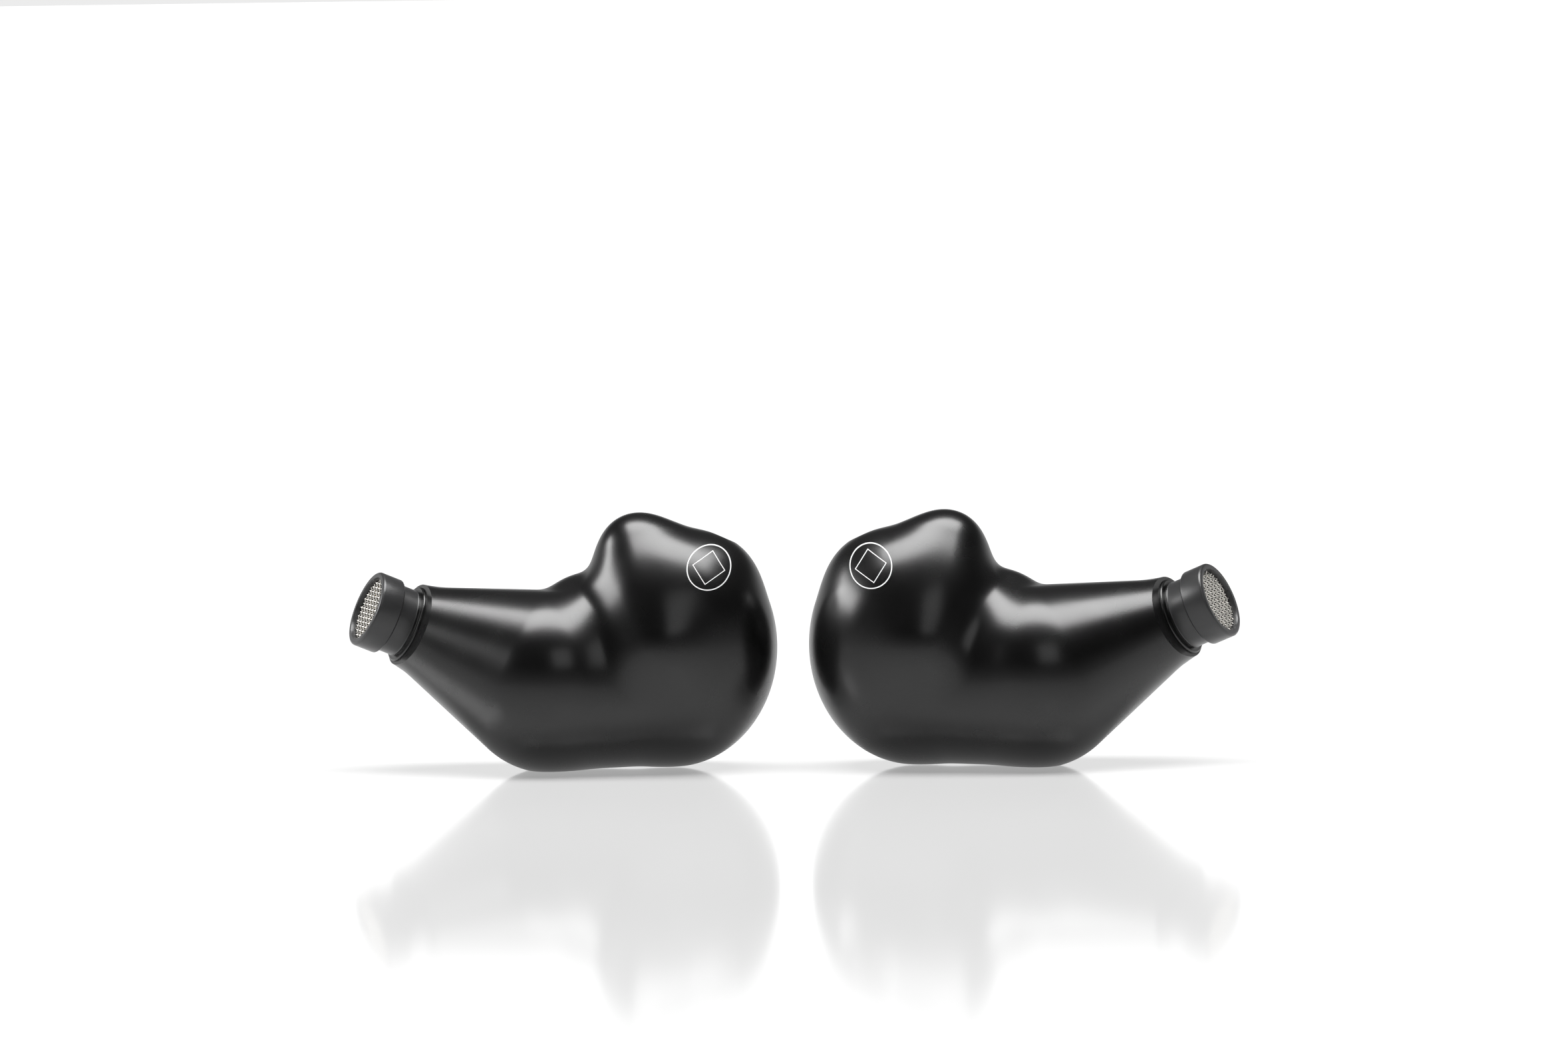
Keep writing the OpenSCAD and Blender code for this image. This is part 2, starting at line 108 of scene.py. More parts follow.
def ball(p, centre, r):
    return np.linalg.norm(p - vec(*centre), axis=-1) - r


def egg(p, centre, radii):
    q = p - vec(*centre)
    s = np.linalg.norm(q / vec(*radii), axis=-1)
    return s * (s - 1) / np.maximum(np.linalg.norm(q / vec(*radii) ** 2, axis=-1), 1e-6)


def round_cone(p, a, b, ra, rb):
    """Cone with round ends: radius ra at a, and the larger radius rb at b."""
    a, b = vec(*a), vec(*b)
    length = np.linalg.norm(b - a)
    way = (b - a) / length
    lean = (rb - ra) / length
    across = math.sqrt(1 - lean * lean)
    along = (p - a) @ way
    out = np.linalg.norm(p - a - along[..., None] * way, axis=-1)
    foot = along + out * lean / across
    middle = out * across - along * lean - ra
    first = np.hypot(out, along) - ra
    last = np.hypot(out, along - length) - rb
    return np.where(foot < 0, first, np.where(foot > length, last, middle))


def form(p, inset, edge):
    neck = round_cone(p, (-29.4, 1.1, 11.1), (-18.4, -1, 6.75), 2.8, 6.95)
    root = round_cone(p, (-29.4, 1.2, 11.1), (-25, 2.6, 9.2), 2.8, 3.2)
    body = egg(p, (-9.2, 0.4, 9.2), (8, 7, 9.15))
    belly = egg(p, (-14, 0, 6), (7.5, 6.4, 5.75))
    saddle = ball(p, (-16.2, 1.4, 12), 2.5)
    ridge = round_cone(p, (-11.8, 0.2, 16.7), (-9.8, -3.9, 9.4), 2.6, 2.6)
    lobe = ball(p, (-6.3, 1, 13.9), 3.4)
    crown = ball(p, SEAM_CENTRE + (DOME_DEPTH - DOME_R) * SEAM_DIR, DOME_R)
    flare = round_cone(p, LIP_CENTRE - 2.5 * NOZZLE_DIR, LIP_CENTRE - 6.5 * NOZZLE_DIR, 2.8, 3.25)
    a = smooth_min(smooth_min(smooth_min(neck, root, 1), flare, 0.6), body, 2.5)
    b = smooth_min(smooth_min(a, belly, 1.5), saddle, 1.5)
    c = smooth_min(smooth_min(b, ridge, 2.5), lobe, 1.5)
    return smooth_max(smooth_max(c + inset, crown + inset, edge), inset - p[..., 2], 0.1)


LONGEST_RAY = 14.0
HALVINGS = 26


def reach(origins, ways, inset, edge):
    """Distance from each origin to the surface along its way."""
    low, high = np.zeros(len(origins)), np.full(len(origins), LONGEST_RAY)
    for _ in range(HALVINGS):
        middle = (low + high) / 2
        inside = form(origins + middle[:, None] * ways, inset, edge) < 0
        low, high = np.where(inside, middle, low), np.where(inside, high, middle)
    return (low + high) / 2


# The first share of the rings fans out from one centre in the body, from straight back (180 degrees)
# to this lean. The other rings follow a bend that starts at that centre and ends in the neck.
FAN_CENTRE = vec(-9.6, 0.2, 8.4)
FAN_AXIS = unit((-1, 0, 0.12))
FAN_SHARE = 0.5
FAN_LEAN = 62
BEND_BACK = 5


def blend(a, b, t):
    return a + (b - a) * t


def skin(rings, sides, end, inset, edge):
    """Closed surface of the form: rays fan out from the body, then travel along the neck."""
    bend = end - BEND_BACK * NOZZLE_DIR
    origins, ways = [], []
    turns = np.arange(sides) * 2 * math.pi / sides
    for i in range(rings + 1):
        u = i / rings
        t = max(0.0, (u - FAN_SHARE) / (1 - FAN_SHARE))
        at = blend(blend(FAN_CENTRE, bend, t), blend(bend, end, t), t)
        axis = unit(blend(FAN_AXIS, NOZZLE_DIR, t))
        lean = blend(180, FAN_LEAN, u / FAN_SHARE) if u < FAN_SHARE else blend(FAN_LEAN, 90, t)
        lean = math.radians(lean)
        side = unit(np.cross(axis, (0, 0, 1)))
        up = np.cross(side, axis)
        for turn in turns[: 1 if i == 0 else sides]:
            around = math.cos(turn) * side + math.sin(turn) * up
            origins.append(at)
            ways.append(math.cos(lean) * axis + math.sin(lean) * around)
    origins, ways = np.array(origins), np.array(ways)
    points = origins + reach(origins, ways, inset, edge)[:, None] * ways
    points = np.vstack([points, end])
    tip = len(points) - 1

    def at_ring(i, j):
        return 1 + (i - 1) * sides + j % sides

    faces = [(0, at_ring(1, j + 1), at_ring(1, j)) for j in range(sides)]
    faces += [
        (at_ring(i, j), at_ring(i, j + 1), at_ring(i + 1, j + 1), at_ring(i + 1, j))
        for i in range(1, rings)
        for j in range(sides)
    ]
    faces += [(at_ring(rings, j), at_ring(rings, j + 1), tip) for j in range(sides)]
    solid = make(points, faces)
    outward(solid)
    return solid


# ---- making, placing and joining solids, all in millimetres ----


def make(points, faces):
    mesh = bpy.data.meshes.new("solid")
    mesh.from_pydata([tuple(p) for p in points], [], faces)
    solid = bpy.data.objects.new("solid", mesh)
    scene.collection.objects.link(solid)
    return solid


def placed(solid, matrix):
    solid.data.transform(matrix)
    return solid


def combine(solid, others, how):
    """Adds the others to the solid, or cuts them from it, one after another."""
    for other in others:
        tool = solid.modifiers.new("tool", "BOOLEAN")
        tool.solver = "MANIFOLD"
        tool.operation = how
        tool.object = other
        graph = bpy.context.evaluated_depsgraph_get()
        mesh = bpy.data.meshes.new_from_object(solid.evaluated_get(graph))
        solid.modifiers.clear()
        solid.data = mesh
        bpy.data.objects.remove(other)
    return solid


def cut(solid, *others):
    return combine(solid, others, "DIFFERENCE")


def add(solid, *others):
    return combine(solid, others, "UNION")


def keep(solid, *others):
    return combine(solid, others, "INTERSECT")


def turned(profile, sides=96):
    """Solid of revolution about Z. The profile is a closed outline of (radius, height) points."""
    count = len(profile)
    points, rows = [], []
    for r, z in profile:
        if r < 1e-6:
            rows.append([len(points)] * sides)
            points.append((0, 0, z))
        else:
            rows.append([len(points) + j for j in range(sides)])
            turns = [2 * math.pi * j / sides for j in range(sides)]
            points += [(r * math.cos(a), r * math.sin(a), z) for a in turns]
    faces = []
    for i in range(count):
        a, b = rows[i], rows[(i + 1) % count]
        for j in range(sides):
            k = (j + 1) % sides
            corners = [a[j], a[k], b[k], b[j]]
            face = [c for n, c in enumerate(corners) if c != corners[n - 1]]
            if len(face) > 2:
                faces.append(tuple(face))
    solid = make(points, faces)
    outward(solid)
    return solid


def outward(solid):
    work = bmesh.new()
    work.from_mesh(solid.data)
    bmesh.ops.recalc_face_normals(work, faces=work.faces)
    work.to_mesh(solid.data)
    work.free()


def rod(r, low, high, sides=96):
    return turned([(0, low), (r, low), (r, high), (0, high)], sides)


def extruded(outline, low, high):
    """Straight solid with the outline's points at both heights."""
    n = len(outline)
    points = [(x, y, low) for x, y in outline] + [(x, y, high) for x, y in outline]
    faces = [tuple(reversed(range(n))), tuple(range(n, 2 * n))]
    faces += [(j, (j + 1) % n, n + (j + 1) % n, n + j) for j in range(n)]
    return make(points, faces)


def stadium_outline(length, width, steps=24):
    r, half = width / 2, (length - width) / 2
    points = []
    for way, start in ((1, -90), (-1, 90)):
        for i in range(steps + 1):
            a = math.radians(start + 180 * i / steps)
            points.append((way * half + r * math.cos(a), r * math.sin(a)))
    return points


def block(low, high):
    outline = [(low[0], low[1]), (high[0], low[1]), (high[0], high[1]), (low[0], high[1])]
    return extruded(outline, low[2], high[2])


def spin(degrees, axis):
    return Matrix.Rotation(math.radians(degrees), 4, axis)


def move(p):
    return Matrix.Translation(Vector(p))


def toward(way):
    lean = math.degrees(math.acos(way[2]))
    turn = math.degrees(math.atan2(way[1], way[0]))
    return spin(turn, "Z") @ spin(lean, "Y")


NOZZLE = move(LIP_CENTRE) @ toward(NOZZLE_DIR)
SEAM = move(SEAM_CENTRE) @ spin(-SEAM_TURN, "Z")
SCREWS = [SEAM @ move((x, 0, z)) @ spin(-90, "X") for x, z in SCREWS_AT]
SOCKET = (
    move(SOCKET_AT) @ spin(-SEAM_TURN, "Z") @ spin(-SOCKET_LEAN[0], "X") @ spin(SOCKET_LEAN[1], "Y")
)


def edge_round(r, centre, start, end, steps=6):
    """Points along a rounded edge of a profile."""
    out = []
    for i in range(steps + 1):
        a = math.radians(blend(start, end, i / steps))
        out.append((centre[0] + r * math.cos(a), centre[1] + r * math.sin(a)))
    return out


# ---- pieces of one earpiece, made for the left side ----

# Half width and half height, in the seam's plane, of blocks that reach past the whole earpiece
PAST_X = 25
PAST_Z = 15
PAST_DEPTH = 30
SCREW_GAP = 0.01
SCREW_HEAD_GAP = 0.05
SOCKET_GAP = 0.04
SOCKET_FLAT = 0.3
CAVITY_BACK = 2.4
CROWN_EDGE = 2
CAVITY_EDGE = 1


def seam_side(way):
    """Everything behind the gasket (way 1) or in front of it (way -1)."""
    low = GASKET_T / 2 if way > 0 else -GASKET_T / 2 - PAST_DEPTH
    return placed(block((-PAST_X, low, -PAST_Z), (PAST_X, low + PAST_DEPTH, PAST_Z)), SEAM)


def screw_holes():
    out = 4
    holes = [placed(rod(SCREW_R + SCREW_GAP, SCREW_TIP_AT - 0.1, out, 48), m) for m in SCREWS]
    holes += [placed(rod(SCREW_HEAD_R + SCREW_HEAD_GAP, SCREW_HEAD_AT, out, 64), m) for m in SCREWS]
    return holes


def socket_holes():
    hole = extruded(stadium_outline(SOCKET_W + SOCKET_GAP, SOCKET_T + SOCKET_GAP), -5, 1)
    flat = extruded(stadium_outline(SOCKET_W + SOCKET_FLAT, SOCKET_T + SOCKET_FLAT), 0, 2)
    return [placed(hole, SOCKET), placed(flat, SOCKET)]


def cavity():
    return skin(90, 90, NECK_END - CAVITY_BACK * NOZZLE_DIR, WALL, CAVITY_EDGE)


def shell():
    solid = keep(skin(SKIN_RINGS, SKIN_SIDES, NECK_END, 0, CROWN_EDGE), seam_side(-1))
    cut(solid, cavity())
    bosses = [placed(rod(BOSS_R, BOSS_FOOT_AT, -GASKET_T / 2, 48), m) for m in SCREWS]
    rib = placed(
        block((0, -0.5, BOSS_FOOT_AT), (1.8, 0.5, -GASKET_T / 2)), SCREWS[1] @ spin(-45, "Z")
    )
    bead = 0.12
    collar = turned(
        [(2.0, -NECK_AT - 0.4), (COLLAR_R - 0.06, -NECK_AT - 0.4)]
        + edge_round(bead, (COLLAR_R - bead, -NECK_AT + 0.06), -60, 120)
        + [(STEM_R - 0.04, -NECK_AT + 0.22), (STEM_R - 0.04, -COLLAR_AT), (2.0, -COLLAR_AT)],
        128,
    )
    add(solid, *bosses, rib, placed(collar, NOZZLE))
    bore = placed(rod(SLEEVE_R + 0.01, -8, 1), NOZZLE)
    return cut(solid, bore, *screw_holes(), *socket_holes())


def faceplate():
    solid = keep(skin(SKIN_RINGS, SKIN_SIDES, NECK_END, 0, CROWN_EDGE), seam_side(1))
    return cut(solid, cavity(), *screw_holes(), *socket_holes())


def gasket():
    inset = 0.25
    slab = placed(block((-PAST_X, -GASKET_T / 2, -PAST_Z), (PAST_X, GASKET_T / 2, PAST_Z)), SEAM)
    solid = keep(skin(120, 120, NECK_END, inset, CROWN_EDGE), slab)
    return cut(solid, cavity(), *screw_holes(), *socket_holes())


def nozzle():
    front, rear = 0.2, 0.14
    profile = (
        [(GRILLE_R, -GRILLE_SEAT), (GRILLE_R, -0.09), (GRILLE_R + 0.05, -0.01)]
        + edge_round(front, (LIP_R - front, -front), 90, 0)
        + edge_round(rear, (LIP_R - rear, -LIP_L + rear), 0, -90)
        + [(STEM_R + 0.06, -LIP_L), (STEM_R, -LIP_L - 0.06)]
        + [(STEM_R, -COLLAR_AT + 0.05), (STEM_R + 0.04, -COLLAR_AT)]
        + [(SLEEVE_R, -COLLAR_AT), (SLEEVE_R, -NOZZLE_L), (SLEEVE_BORE_R, -NOZZLE_L)]
        + [(SLEEVE_BORE_R, -GRILLE_SEAT)]
    )
    return placed(turned(profile, 144), NOZZLE)


def screws():
    parts = []
    for m in SCREWS:
        head = SCREW_HEAD_AT
        profile = (
            [(0, SCREW_TIP_AT), (SCREW_R - 0.12, SCREW_TIP_AT), (SCREW_R, SCREW_TIP_AT + 0.12)]
            + [(SCREW_R, head), (SCREW_HEAD_R - 0.03, head), (SCREW_HEAD_R, head + 0.03)]
            + edge_round(0.1, (SCREW_HEAD_R - 0.1, head + 0.4), 0, 90, 4)
            + [(0, head + 0.5)]
        )
        hexagon = [(0.4 * math.cos(a), 0.4 * math.sin(a)) for a in np.arange(6) * math.pi / 3]
        screw = cut(turned(profile, 64), extruded(hexagon, head + 0.2, head + 1))
        parts.append(placed(screw, m))
    return joined(parts)


def joined(parts):
    """One object that holds the parts' meshes side by side."""
    work = bmesh.new()
    for part in parts:
        work.from_mesh(part.data)
        bpy.data.objects.remove(part)
    mesh = bpy.data.meshes.new("joined")
    work.to_mesh(mesh)
    work.free()
    solid = bpy.data.objects.new("joined", mesh)
    scene.collection.objects.link(solid)
    return solid


WIRE_R = 0.06
WIRE_PITCH = 0.35


def wire(points, r, sides=8):
    """Round wire along points that lie in one plane with the local Z axis."""
    points = np.array(points)
    rows = []
    for i, p in enumerate(points):
        way = unit(points[min(i + 1, len(points) - 1)] - points[max(i - 1, 0)])
        side = unit(np.cross(way, (0, 0, 1)))
        up = np.cross(side, way)
        turns = np.arange(sides) * 2 * math.pi / sides
        rows.append([p + r * (math.cos(a) * side + math.sin(a) * up) for a in turns])
    faces = []
    for i in range(len(rows) - 1):
        for j in range(sides):
            k = (j + 1) % sides
            a, b = i * sides, (i + 1) * sides
            faces.append((a + j, a + k, b + k, b + j))
    faces.append(tuple(reversed(range(sides))))
    faces.append(tuple((len(rows) - 1) * sides + j for j in range(sides)))
    return [p for row in rows for p in row], faces


def grille():
    """Plain woven wire cloth."""
    points, faces = [], []
    reach_r = GRILLE_R - 0.01
    count = int(reach_r / WIRE_PITCH)
    for across in (0, 1):
        for n in range(-count, count + 1):
            offset = n * WIRE_PITCH
            half = math.sqrt(max(reach_r**2 - offset**2, 0))
            steps = max(int(2 * half / WIRE_PITCH * 8), 2)
            line = []
            for i in range(steps + 1):
                s = blend(-half, half, i / steps)
                wave = WIRE_R * 1.02 * math.cos(math.pi * (s / WIRE_PITCH + n + across))
                line.append((offset, s, wave) if across else (s, offset, wave))
            p, f = wire(line, WIRE_R)
            faces += [tuple(i + len(points) for i in face) for face in f]
            points += p
    cloth = placed(make(points, faces), move((0, 0, -GRILLE_SEAT + 2 * WIRE_R)))
    outward(cloth)
    return placed(cloth, NOZZLE)


def finished(solid, name, body, stands_for, material, crease=32):
    """Names, mirrors and shades a solid for both sides."""
    for side, way in (("left", 1), ("right", -1)):
        mesh = solid.data.copy()
        mesh.transform(move((0, DEPTH_SHIFT, 0)))
        mesh.transform(Matrix.Diagonal((way * MM, MM, MM, 1)))
        if way < 0:
            mesh.flip_normals()
        mesh.shade_smooth()
        mesh.set_sharp_from_angle(angle=math.radians(crease))
        piece = bpy.data.objects.new(f"{side}_{name}", mesh)
        scene.collection.objects.link(piece)
        mesh.materials.clear()
        mesh.materials.append(material)
        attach(piece, f"{side}_{body}")
        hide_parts(*[f"{side}_{node}" for node in stands_for])
    bpy.data.objects.remove(solid)


# ---- materials ----


class Nodes:
    """Short way to write a material's node tree."""

    def __init__(self, name):
        self.material = bpy.data.materials.new(name)
        self.material.use_nodes = True
        self.tree = self.material.node_tree
        self.shader = self.tree.nodes["Principled BSDF"]
        self.place = self.tree.nodes.new("ShaderNodeTexCoord").outputs["Object"]

    def link(self, a, b):
        self.tree.links.new(a, b)

    def noise(self, size_mm, detail=2.0, roughness=0.5, stretch=None):
        """Noise with features of about this size."""
        node = self.tree.nodes.new("ShaderNodeTexNoise")
        node.inputs["Scale"].default_value = 1 / (size_mm * MM)
        node.inputs["Detail"].default_value = detail
        node.inputs["Roughness"].default_value = roughness
        place = self.place
        if stretch:
            mapping = self.tree.nodes.new("ShaderNodeMapping")
            mapping.inputs["Scale"].default_value = stretch
            self.link(place, mapping.inputs["Vector"])
            place = mapping.outputs["Vector"]
        self.link(place, node.inputs["Vector"])
        return node.outputs["Fac"]

    def waves(self, size_mm, direction="X"):
        node = self.tree.nodes.new("ShaderNodeTexWave")
        node.bands_direction = direction
        node.inputs["Scale"].default_value = 0.3 / (size_mm * MM)
        node.inputs["Distortion"].default_value = 0.4
        self.link(self.place, node.inputs["Vector"])
        return node.outputs["Fac"]

    def ramp(self, value, low, high, start=0.3, end=0.7):
        """Colour or grey that follows a value."""
        node = self.tree.nodes.new("ShaderNodeValToRGB")
        stops = node.color_ramp.elements
        stops[0].position, stops[1].position = start, end
        stops[0].color = tuple(low) + (1,)
        stops[1].color = tuple(high) + (1,)
        self.link(value, node.inputs["Fac"])
        return node.outputs["Color"]

    def spread(self, value, low, high):
        """Number that follows a value between 0.3 and 0.7."""
        node = self.tree.nodes.new("ShaderNodeMapRange")
        node.inputs["From Min"].default_value = 0.3
        node.inputs["From Max"].default_value = 0.7
        node.inputs["To Min"].default_value = low
        node.inputs["To Max"].default_value = high
        self.link(value, node.inputs["Value"])
        return node.outputs["Result"]

    def bump(self, value, depth_mm, under=None):
        node = self.tree.nodes.new("ShaderNodeBump")
        node.inputs["Distance"].default_value = depth_mm * MM
        self.link(value, node.inputs["Height"])
        if under:
            self.link(under, node.inputs["Normal"])
        return node.outputs["Normal"]

    def math(self, how, *values):
        """One arithmetic node. A value is a number or a socket."""
        node = self.tree.nodes.new("ShaderNodeMath")
        node.operation = how
        for i, value in enumerate(values):
            if isinstance(value, (int, float)):
                node.inputs[i].default_value = value
            else:
                self.link(value, node.inputs[i])
        return node.outputs[0]

    def mixed(self, share, a, b):
        """Colour a where the share is 0 and b where it is 1."""
        node = self.tree.nodes.new("ShaderNodeMix")
        node.data_type = "RGBA"
        self.link(share, node.inputs[0])
        for value, entry in ((a, node.inputs[6]), (b, node.inputs[7])):
            if isinstance(value, (int, float)):
                entry.default_value = (value, value, value, 1)
            elif isinstance(value, tuple):
                entry.default_value = value + (1,)
            else:
                self.link(value, entry)
        return node.outputs[2]

    def figure(self):
        """1 on the thin lines of the mark, a ring round a square on its corner, seen along Y."""
        split = self.tree.nodes.new("ShaderNodeSeparateXYZ")
        self.link(self.place, split.inputs["Vector"])
        x, y, z = split.outputs
        across = self.math("SUBTRACT", self.math("ABSOLUTE", x), MARK_AT[0] * MM)
        up = self.math("SUBTRACT", z, MARK_AT[1] * MM)
        turn = math.radians(MARK_TURN)
        a = self.math(
            "ADD", self.math("MULTIPLY", across, math.cos(turn)), self.math("MULTIPLY", up, math.sin(turn))
        )
        b = self.math(
            "SUBTRACT",
            self.math("MULTIPLY", up, math.cos(turn)),
            self.math("MULTIPLY", across, math.sin(turn)),
        )
        ring = self.math(
            "SQRT", self.math("ADD", self.math("MULTIPLY", a, a), self.math("MULTIPLY", b, b))
        )
        square = self.math("ADD", self.math("ABSOLUTE", a), self.math("ABSOLUTE", b))
        lines = [
            self.math("ABSOLUTE", self.math("SUBTRACT", ring, MARK_R * MM)),
            self.math("ABSOLUTE", self.math("SUBTRACT", square, MARK_SQUARE * MM)),
        ]
        near = self.math("LESS_THAN", self.math("MINIMUM", *lines), MARK_LINE / 2 * MM)
        front = self.math("LESS_THAN", y, 0.0)
        return self.math("MULTIPLY", near, front)

    def finish(self, colour, rough, normal=None, **sockets):
        self.link(colour, self.shader.inputs["Base Color"])
        self.link(rough, self.shader.inputs["Roughness"])
        if normal:
            self.link(normal, self.shader.inputs["Normal"])
        for name, value in sockets.items():
            self.shader.inputs[name.replace("_", " ")].default_value = value
        return self.material


def satin_black(name, low, high, rough_low, rough_high, grain_mm=0.16, grain_depth=0.0016, mark=False):
    """Bead-blasted and anodised metal: fine dimples under a satin black coat."""
    n = Nodes(name)
    tone = n.ramp(n.noise(4.0, 3), low, high)
    rough = n.spread(n.noise(3.0, 2), rough_low, rough_high)
    normal = n.bump(n.noise(grain_mm, 2, 0.5), grain_depth)
    if mark:
        line = n.figure()
        tone = n.mixed(line, tone, MARK_WHITE)
        rough = n.mixed(line, rough, 0.5)
    return n.finish(tone, rough, normal, IOR=1.5)


def metal(name, low, high, rough_low, rough_high, size_mm=0.3, depth_mm=0.002, stretch=None):
    n = Nodes(name)
    value = n.noise(size_mm, 4, 0.6, stretch)
    tone = n.ramp(value, low, high)
    normal = n.bump(n.noise(size_mm / 2, 3, 0.5, stretch), depth_mm)
    return n.finish(tone, n.spread(value, rough_low, rough_high), normal, Metallic=1.0)


def plastic(name, low, high, rough_low, rough_high, size_mm=0.25, depth_mm=0.004, **more):
    n = Nodes(name)
    tone = n.ramp(n.noise(size_mm * 6, 3), low, high)
    grain = n.noise(size_mm, 3, 0.6)
    return n.finish(tone, n.spread(grain, rough_low, rough_high), n.bump(grain, depth_mm), **more)


def woven(name, low, high, size_mm):
    n = Nodes(name)
    threads = n.waves(size_mm, "X")
    tone = n.ramp(threads, low, high)
    normal = n.bump(n.waves(size_mm, "Z"), 0.01, under=n.bump(threads, 0.01))
    return n.finish(tone, n.spread(threads, 0.6, 0.85), normal)


def grey(v):
    return (v, v, v * 1.03)


# The mark on the front: its middle (distance from the pair's middle, height), tilt and sizes
MARK_AT = (6.1, 15.5)
MARK_TURN = 12
MARK_R = 1.6
MARK_SQUARE = 1.2
MARK_LINE = 0.08
MARK_WHITE = (0.75, 0.75, 0.75)

COAT = (grey(0.0015), grey(0.0025), 0.25, 0.28)
satin = satin_black("satin_black_metal", *COAT)
marked = satin_black("marked_black_metal", *COAT, mark=True)
turned_black = satin_black("turned_black_metal", grey(0.022), grey(0.028), 0.3, 0.34, 0.09, 0.0006)
mesh_metal = metal("woven_mesh_metal", (0.6, 0.58, 0.54), (0.78, 0.76, 0.72), 0.25, 0.4, 0.06, 0.0006)

SLOTS = {
    "shell": satin,
    "seal": plastic("gasket_rubber", grey(0.012), grey(0.025), 0.6, 0.8),
    "screw_steel": metal("black_screw_steel", grey(0.05), grey(0.1), 0.3, 0.45, 0.2, 0.002),
    "nozzle_metal": turned_black,
    "grille_mesh": mesh_metal,
    "inner_plastic": plastic("moulded_plastic", grey(0.012), grey(0.02), 0.4, 0.6),
    "damper_metal": metal("drawn_brass", (0.5, 0.38, 0.16), (0.7, 0.56, 0.28), 0.25, 0.4),
    "sound_tube": plastic(
        "clear_tube", (0.75, 0.8, 0.84), (0.86, 0.9, 0.93), 0.12, 0.25, Transmission_Weight=0.6
    ),
    "film": plastic("formed_film", (0.5, 0.42, 0.26), (0.66, 0.57, 0.38), 0.2, 0.35, 0.4),
    "copper": metal("wound_copper", (0.5, 0.2, 0.08), (0.8, 0.4, 0.2), 0.25, 0.4, 0.12, 0.006, (1, 1, 6)),
    "driver_steel": metal("plated_steel", grey(0.45), grey(0.62), 0.2, 0.35),
    "magnet": metal("nickel_plate", (0.6, 0.58, 0.54), (0.75, 0.73, 0.7), 0.12, 0.22),
    "screen": woven("woven_screen", (0.5, 0.49, 0.46), (0.85, 0.84, 0.8), 0.12),
    "armature_case": metal("drawn_can", grey(0.6), grey(0.8), 0.2, 0.34, 0.5, 0.002, (1, 1, 8)),
    "board": plastic("solder_mask", (0.004, 0.06, 0.02), (0.01, 0.1, 0.035), 0.2, 0.4),
    "components": plastic("ceramic_chips", (0.3, 0.22, 0.14), (0.5, 0.38, 0.25), 0.4, 0.6),
    "socket_plastic": plastic("socket_moulding", grey(0.012), grey(0.02), 0.35, 0.5),
    "contact_brass": metal("gold_plate", (0.85, 0.58, 0.2), (1.0, 0.75, 0.34), 0.15, 0.25),
    "wire_enamel": plastic(
        "enamelled_wire", (0.4, 0.14, 0.05), (0.6, 0.26, 0.1), 0.2, 0.35, Metallic=0.6
    ),
}
slot_of = {part["node"]: part["material_slot"] for part in frame["record"]["subparts"]}
for name, node in nodes.items():
    node.data.materials.clear()
    node.data.materials.append(SLOTS[slot_of[name]])
    node.data.shade_smooth()
    node.data.set_sharp_from_angle(angle=math.radians(30))

# ---- pieces ----

SKIN_RINGS = 260
SKIN_SIDES = 220

finished(shell(), "shell_casting", "earpiece", ["shell"], marked)
finished(faceplate(), "rear_cover", "earpiece", ["faceplate"], satin)
finished(gasket(), "seam_seal", "earpiece", ["faceplate_gasket"], SLOTS["seal"])
finished(nozzle(), "turned_nozzle", "earpiece", ["nozzle"], turned_black)
finished(grille(), "woven_grille", "earpiece", ["nozzle_grille"], mesh_metal, 50)
finished(screws(), "cover_screws", "earpiece", ["faceplate_screws"], SLOTS["screw_steel"])

# ---- floor, light and camera ----

WHITE = 1.05
FLOOR_HALF = 8.0
LIGHT_DISTANCE = 0.9
# Camera: metres from the pair, width of the picture there, and angles in degrees
DISTANCE = 0.6
PICTURE_W = 0.11904
SENSOR_W = 36
AZIMUTH = 2.4
ELEVATION = 6.0
ROLL = 0.8
# The aim is above the object's foot and a little to its left
RAISE = 1.775
YAW = 0.077


def floor():
    half = FLOOR_HALF
    mesh = bpy.data.meshes.new("floor")
    corners = [(-half, -half, 0), (half, -half, 0), (half, half, 0), (-half, half, 0)]
    mesh.from_pydata(corners, [], [(0, 1, 2, 3)])
    piece = bpy.data.objects.new("floor", mesh)
    scene.collection.objects.link(piece)
    n = Nodes("white_floor")
    tone = n.ramp(n.noise(120, 2), (0.42, 0.42, 0.42), (0.44, 0.44, 0.44))
    far = n.tree.nodes.new("ShaderNodeVectorMath")
    far.operation = "LENGTH"
    n.link(n.place, far.inputs[0])
    # Painted light: the floor glows, weaker within 0.1 m of the pair and full from 0.6 m out
    glow = n.ramp(far.outputs["Value"], (0.27, 0.27, 0.27), (0.5, 0.5, 0.5), 0.1, 0.6)
    shader = n.finish(tone, n.spread(n.noise(60, 2), 0.08, 0.1), IOR=1.45, Emission_Strength=1.0)
    n.link(glow, n.shader.inputs["Emission Color"])
    mesh.materials.append(shader)


def softbox(name, toward_light, size, power, shadow=True, aim=(0, 0, 0.01)):
    """Area light that faces the aim from this direction. The camera doesn't see it."""
    data = bpy.data.lights.new(name, "AREA")
    data.shape = "RECTANGLE"
    data.size, data.size_y = size
    data.energy = power * math.pi * size[0] * size[1]
    light = bpy.data.objects.new(name, data)
    way = Vector(toward_light).normalized()
    light.location = Vector(aim) + way * LIGHT_DISTANCE
    light.rotation_euler = way.to_track_quat("Z", "Y").to_euler()
    light.visible_camera = False
    data.use_shadow = shadow
    scene.collection.objects.link(light)


def soft_step(tree, value, start, end, low, high):
    """Number that passes smoothly from low to high while the value goes from start to end."""
    node = tree.nodes.new("ShaderNodeMapRange")
    node.interpolation_type = "SMOOTHSTEP"
    for name, number in (("From Min", start), ("From Max", end), ("To Min", low), ("To Max", high)):
        node.inputs[name].default_value = number
    tree.links.new(value, node.inputs["Value"])
    return node.outputs["Result"]


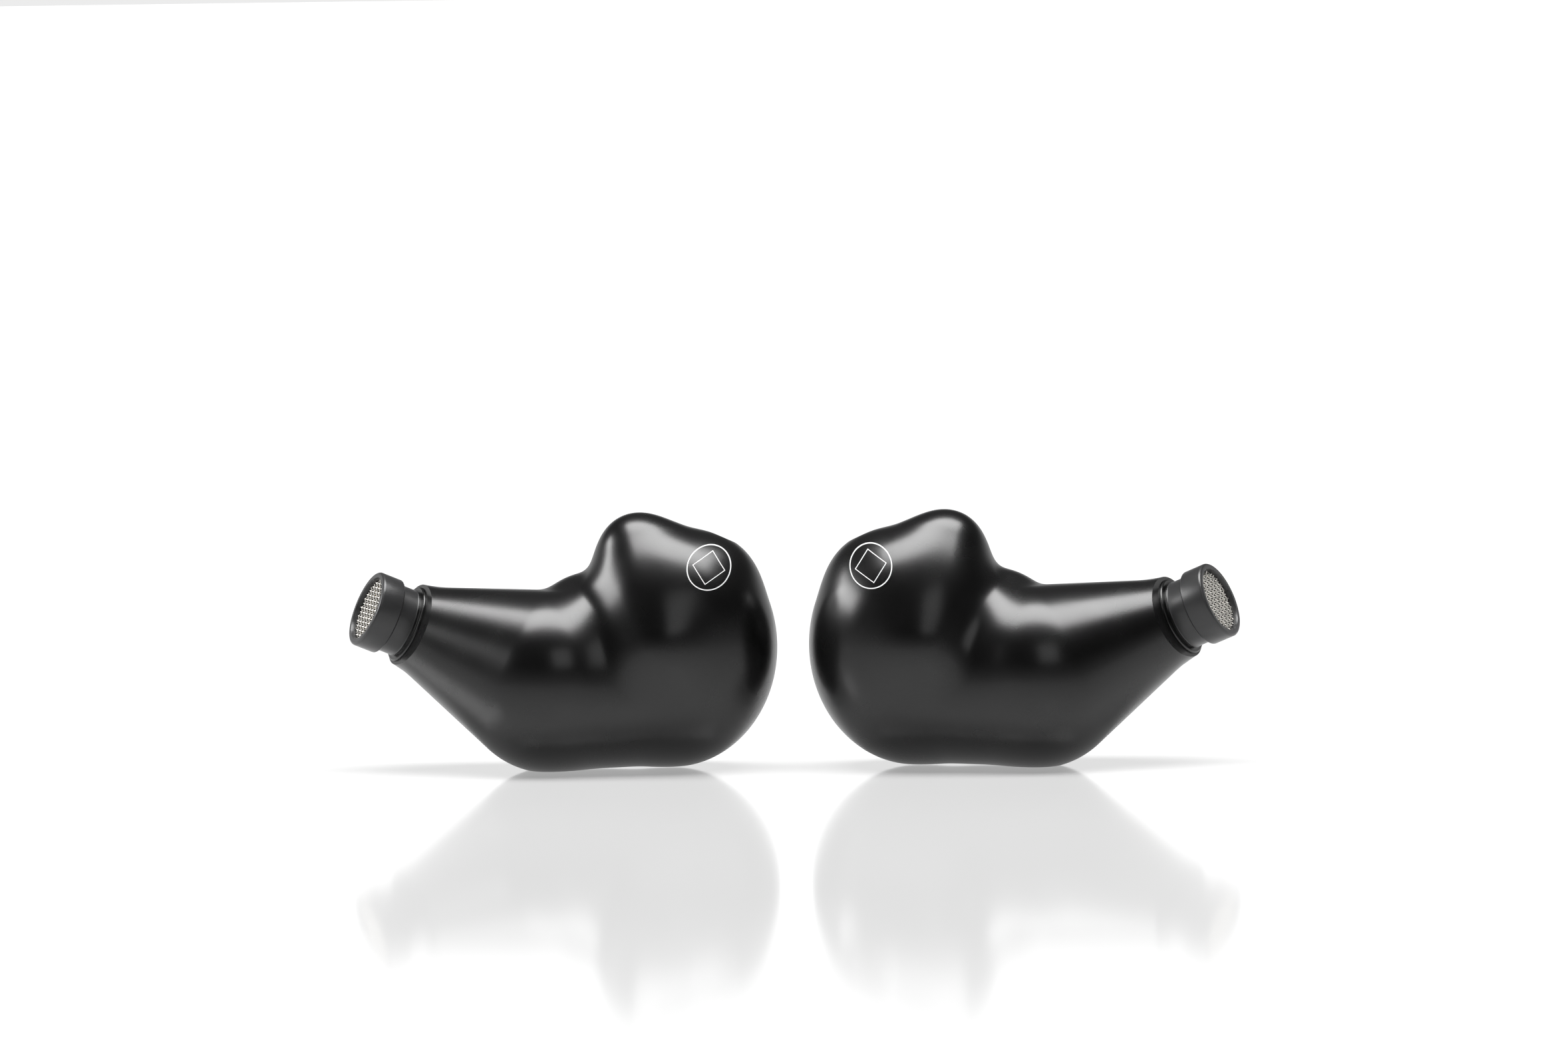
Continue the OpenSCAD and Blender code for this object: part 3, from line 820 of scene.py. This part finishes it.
def arithmetic(tree, how, a, b):
    node = tree.nodes.new("ShaderNodeMath")
    node.operation = how
    tree.links.new(a, node.inputs[0])
    tree.links.new(b, node.inputs[1])
    return node.outputs[0]


def studio():
    """White to the camera. Reflections see white behind the object that fades upward, a dark room on
    the camera's side, and a grey band at the horizon all round."""
    world = bpy.data.worlds.new("studio")
    scene.world = world
    world.use_nodes = True
    tree = world.node_tree
    tree.nodes.clear()
    out = tree.nodes.new("ShaderNodeOutputWorld")
    mix = tree.nodes.new("ShaderNodeMixShader")
    seen = tree.nodes.new("ShaderNodeBackground")
    lit = tree.nodes.new("ShaderNodeBackground")
    path = tree.nodes.new("ShaderNodeLightPath")
    place = tree.nodes.new("ShaderNodeTexCoord")
    split = tree.nodes.new("ShaderNodeSeparateXYZ")
    tree.links.new(place.outputs["Generated"], split.inputs["Vector"])
    behind = soft_step(tree, split.outputs["Y"], -0.15, 0.45, 0.02, WHITE)
    above = soft_step(tree, split.outputs["Z"], 0.1, 0.4, 0.9, 0.1)
    horizon = soft_step(tree, split.outputs["Z"], -0.02, 0.4, 0.5, 0.02)
    glow = arithmetic(tree, "MAXIMUM", arithmetic(tree, "MULTIPLY", behind, above), horizon)
    tree.links.new(glow, lit.inputs["Strength"])
    seen.inputs["Strength"].default_value = WHITE
    tree.links.new(path.outputs["Is Camera Ray"], mix.inputs["Fac"])
    tree.links.new(lit.outputs["Background"], mix.inputs[1])
    tree.links.new(seen.outputs["Background"], mix.inputs[2])
    tree.links.new(mix.outputs["Shader"], out.inputs["Surface"])


def camera():
    """Looks at the pair from a little right and above."""
    data = bpy.data.cameras.new("camera")
    view = bpy.data.objects.new("camera", data)
    scene.collection.objects.link(view)
    data.sensor_width = SENSOR_W
    data.lens = SENSOR_W * DISTANCE / PICTURE_W
    data.clip_start, data.clip_end = 0.05, 50
    a, e = math.radians(AZIMUTH), math.radians(ELEVATION)
    back = Vector((math.sin(a) * math.cos(e), -math.cos(a) * math.cos(e), math.sin(e)))
    view.location = Vector((0, DEPTH_SHIFT * MM, 0)) + back * DISTANCE
    turn = back.to_track_quat("Z", "Y").to_matrix().to_4x4()
    turn = turn @ spin(-ROLL, "Z") @ spin(RAISE, "X") @ spin(YAW, "Y")
    view.rotation_euler = turn.to_euler()
    scene.camera = view


floor()
studio()
softbox("overhead", (0, 0, 1), (1.0, 0.5), 12.0, aim=(0.07, 0.04, 0.01))
softbox("left_side", (-0.9, 0.0, 0.47), (0.6, 0.22), 12.0, False)
softbox("front_right", (0.3, -0.8, 0.58), (0.36, 0.36), 1.2, False)
camera()
scene.view_settings.view_transform = "Standard"
